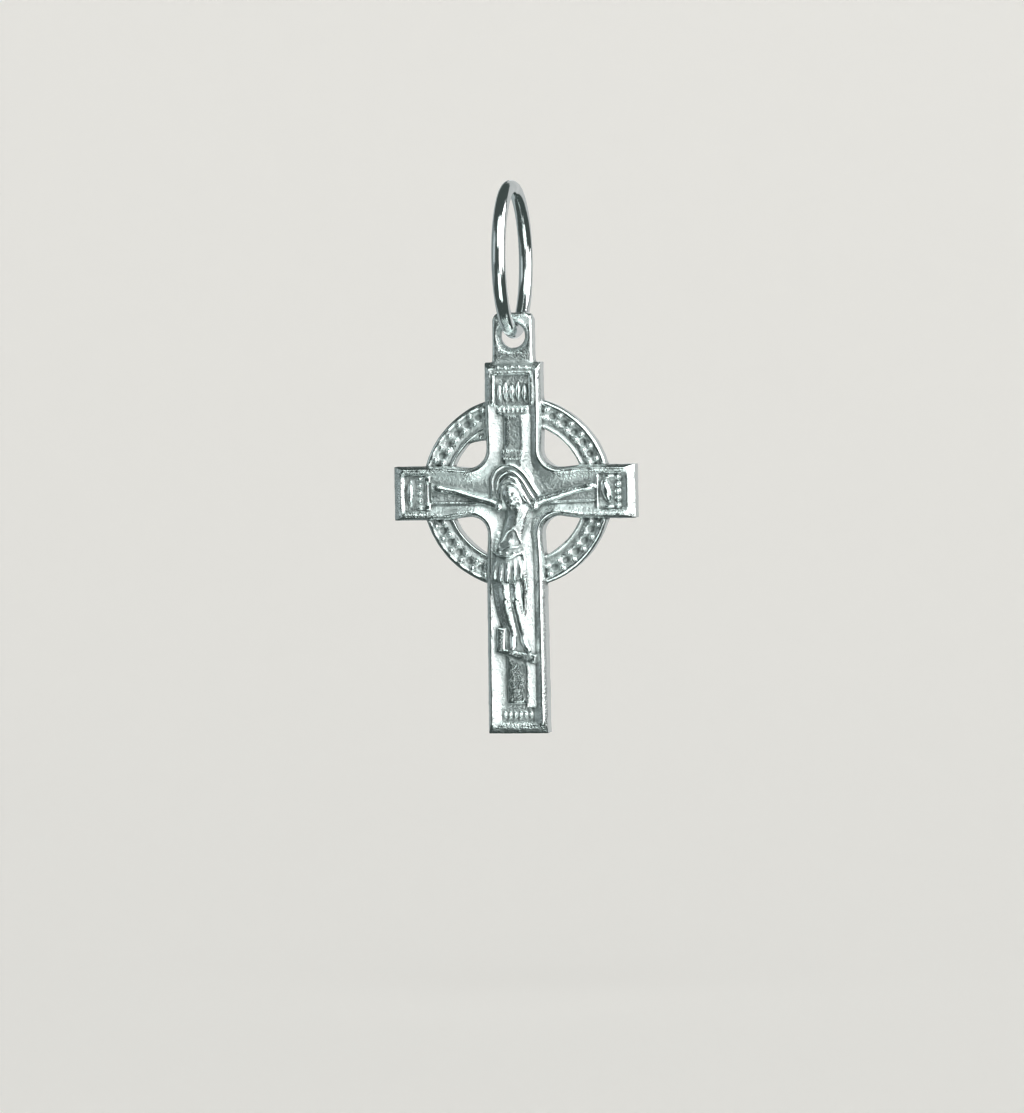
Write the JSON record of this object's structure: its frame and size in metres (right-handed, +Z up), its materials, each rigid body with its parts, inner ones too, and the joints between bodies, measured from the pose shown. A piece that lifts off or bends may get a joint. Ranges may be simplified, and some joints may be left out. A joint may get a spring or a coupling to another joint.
{
  "type": "orthodox cross pendant",
  "caption": "Small cast silver cross with a ring round its crossing and a figure in relief, hanging by its eye from a round jump ring.",
  "frame": {"origin": "top of the jump ring's opening, on the ring's centre line, where a chain or cord bears", "axes": "+Z up, the figure faces -Y, +X to the right of someone who looks at the figure"},
  "size_m": [0.0138, 0.009, 0.0314],
  "materials": {
    "cast_silver": "cast silver, tumbled bright, greyer in the recesses",
    "drawn_silver": "polished silver wire"
  },
  "bodies": {
    "ring_body": {"jump_ring": "drawn_silver"},
    "cross_body": {"cross": "cast_silver"}
  },
  "joints": [
    {"name": "cross_sway", "type": "hinge", "parent": "ring_body", "child": "cross_body", "pos_m": [0, 0, -0.0078], "axis": [0, 1, 0], "range_deg": [-75, 75]}
  ]
}
